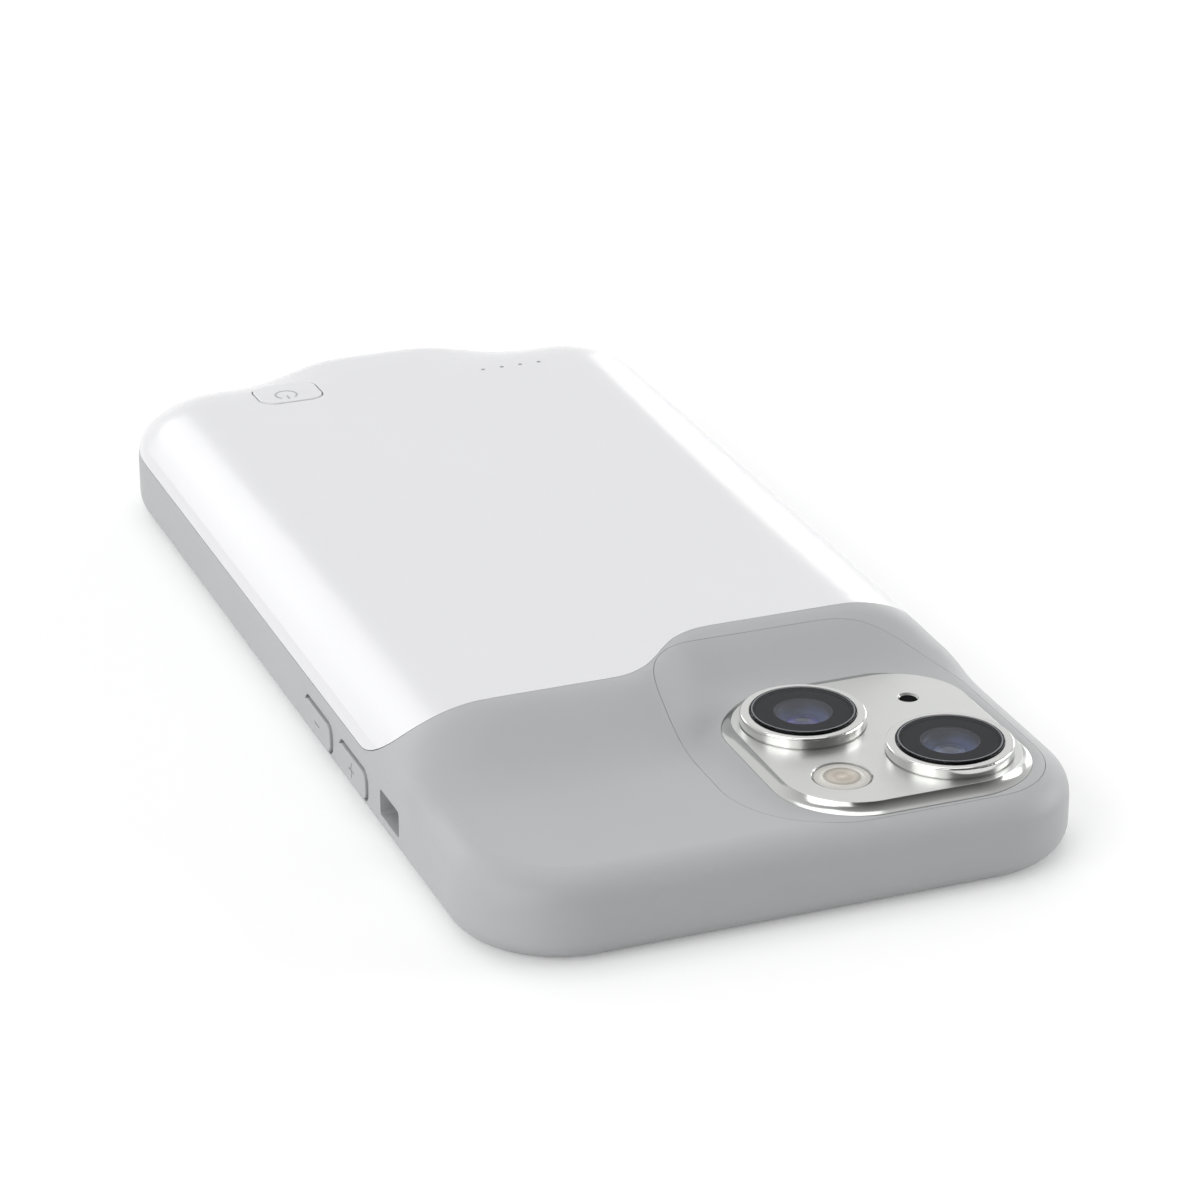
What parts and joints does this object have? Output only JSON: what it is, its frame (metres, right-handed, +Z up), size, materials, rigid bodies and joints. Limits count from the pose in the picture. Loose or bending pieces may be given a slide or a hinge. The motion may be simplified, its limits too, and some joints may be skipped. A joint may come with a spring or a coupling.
{
  "type": "battery charging case",
  "caption": "Slim battery case with an open pocket, a glossy raised back over a flat cell, a camera guard plate with lens rings, push buttons and a charging port.",
  "frame": {"origin": "centre of the case's plan on the plane of its open rim, which it lies on", "axes": "+X across the case towards the side button, +Y along it from the camera end to the charging end, +Z up through the back"},
  "size_m": [0.0776, 0.161, 0.0162],
  "materials": {
    "frame_grey": "satin moulded grey",
    "cover_white": "polished white",
    "guard_metal": "satin with a polished edge",
    "ring_metal": "polished",
    "lens_glass": "polished",
    "barrel_black": "matt black",
    "flash_cream": "frosted",
    "light_guide_clear": "clear",
    "board_green": "solder mask",
    "screw_steel": "plated",
    "component_black": "moulded black",
    "connector_white": "moulded",
    "cell_foil": "pouch foil",
    "tape_white": "adhesive tape",
    "foam_black": "open-cell foam",
    "mesh_black": "woven mesh",
    "connector_steel": "drawn steel",
    "flex_amber": "polyimide film"
  },
  "bodies": {
    "case": {"rear_frame": "frame_grey", "camera_surround": "frame_grey", "battery_cover": "cover_white", "camera_guard": "guard_metal", "far_lens_ring": "ring_metal", "near_lens_ring": "ring_metal", "far_lens_glass": "lens_glass", "near_lens_glass": "lens_glass", "far_lens_element": "lens_glass", "near_lens_element": "lens_glass", "far_lens_baffle": "barrel_black", "near_lens_baffle": "barrel_black", "flash_window": "flash_cream", "light_guide": "light_guide_clear", "status_lights": "light_guide_clear", "main_board": "board_green", "charging_board": "board_green", "board_screws": "screw_steel", "power_switch": "component_black", "charge_chip": "component_black", "choke_coil": "component_black", "plug_base": "component_black", "port_tongue": "component_black", "cell_connector": "connector_white", "battery_cell": "cell_foil", "cell_tape": "tape_white", "cell_foam": "foam_black", "microphone_mesh": "mesh_black", "charging_plug": "connector_steel", "charging_port": "connector_steel", "board_flex": "flex_amber"},
    "power_button": {"power_button": "cover_white"},
    "volume_up_button": {"volume_up_button": "frame_grey"},
    "volume_down_button": {"volume_down_button": "frame_grey"},
    "side_button": {"side_button": "frame_grey"}
  },
  "joints": [
    {"name": "power_press", "type": "slide", "parent": "case", "child": "power_button", "axis": [0, 0, -1], "range_m": [0, 0.0004], "stiffness_N_per_m": 3000},
    {"name": "volume_up_press", "type": "slide", "parent": "case", "child": "volume_up_button", "axis": [1, 0, 0], "range_m": [0, 0.00025], "stiffness_N_per_m": 6000},
    {"name": "volume_down_press", "type": "slide", "parent": "case", "child": "volume_down_button", "axis": [1, 0, 0], "range_m": [0, 0.00025], "stiffness_N_per_m": 6000},
    {"name": "side_press", "type": "slide", "parent": "case", "child": "side_button", "axis": [-1, 0, 0], "range_m": [0, 0.00025], "stiffness_N_per_m": 6000}
  ]
}
